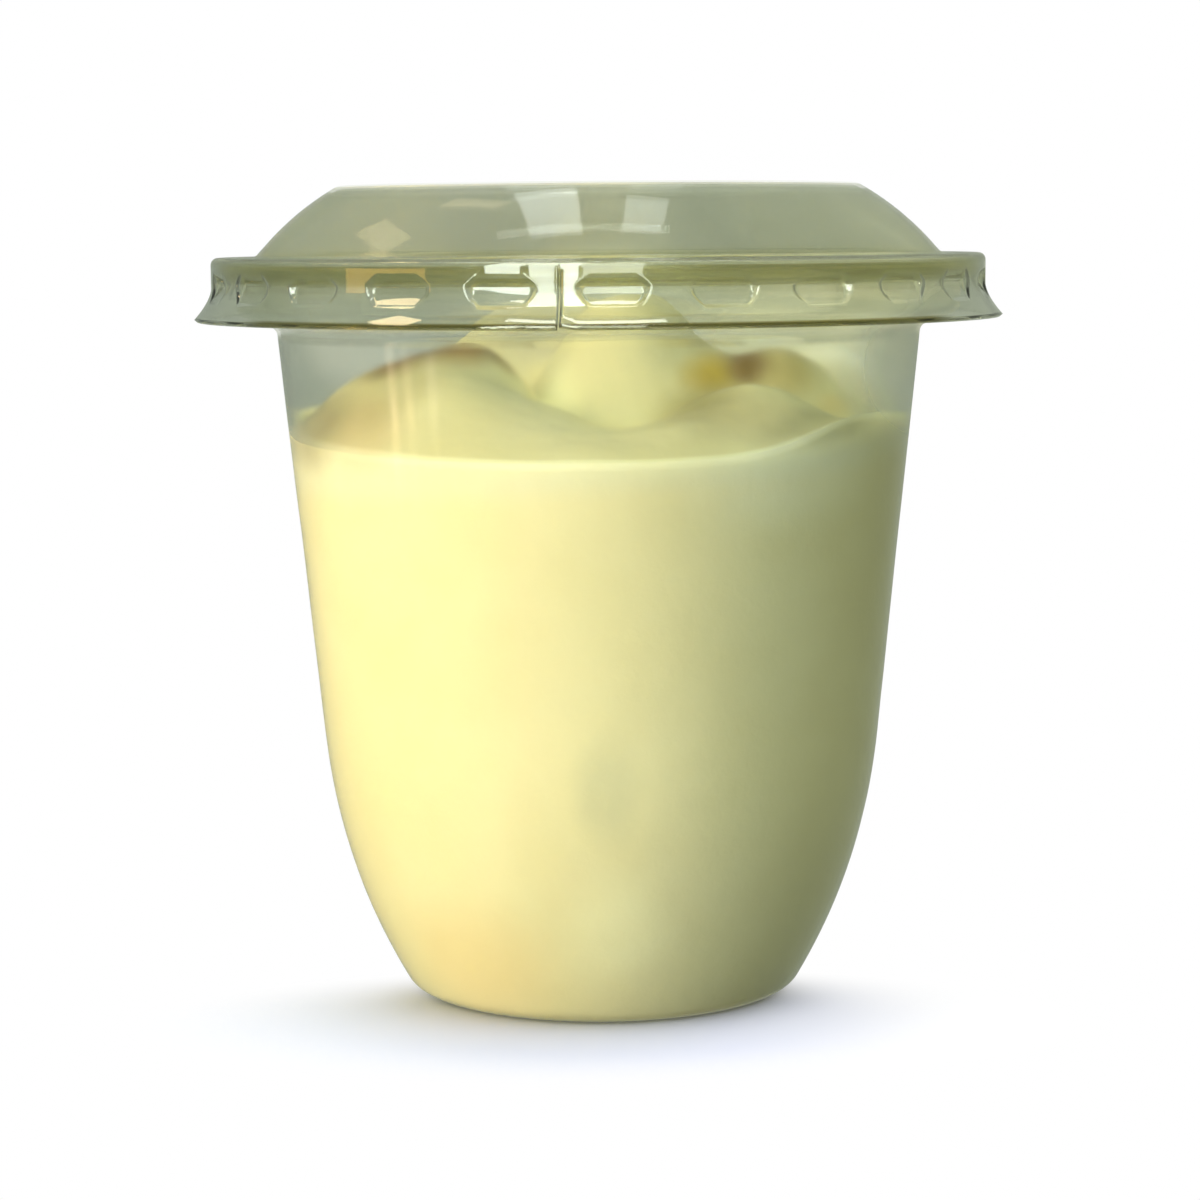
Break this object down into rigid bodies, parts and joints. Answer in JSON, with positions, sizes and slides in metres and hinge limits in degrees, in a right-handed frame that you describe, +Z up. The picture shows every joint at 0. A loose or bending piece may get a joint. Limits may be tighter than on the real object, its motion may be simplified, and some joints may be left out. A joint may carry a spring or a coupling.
{
  "type": "coconut ice cream cup",
  "caption": "Clear round-bottomed plastic cup filled with pale yellow coconut ice cream, mounded on top, shut with a clear press-on lid that has a low flat dome and a flared skirt.",
  "frame": {"origin": "middle of the cup's flat base, on the surface it stands on", "axes": "+Z up through the middle of the lid; -Y is the side seen in the picture and +X is its right"},
  "size_m": [0.1038, 0.1038, 0.1043],
  "materials": {
    "clear_cup": "clear thin formed sheet, glossy, very slightly grey-green",
    "clear_lid": "clear thin formed sheet, glossy, slightly grey-green and a little hazy",
    "ice_cream": "smooth pale yellow ice cream, softly matte, tan along the mounds' crests"
  },
  "bodies": {
    "root": {"cup": "clear_cup", "lid": "clear_lid", "ice_cream": "ice_cream"}
  },
  "joints": []
}
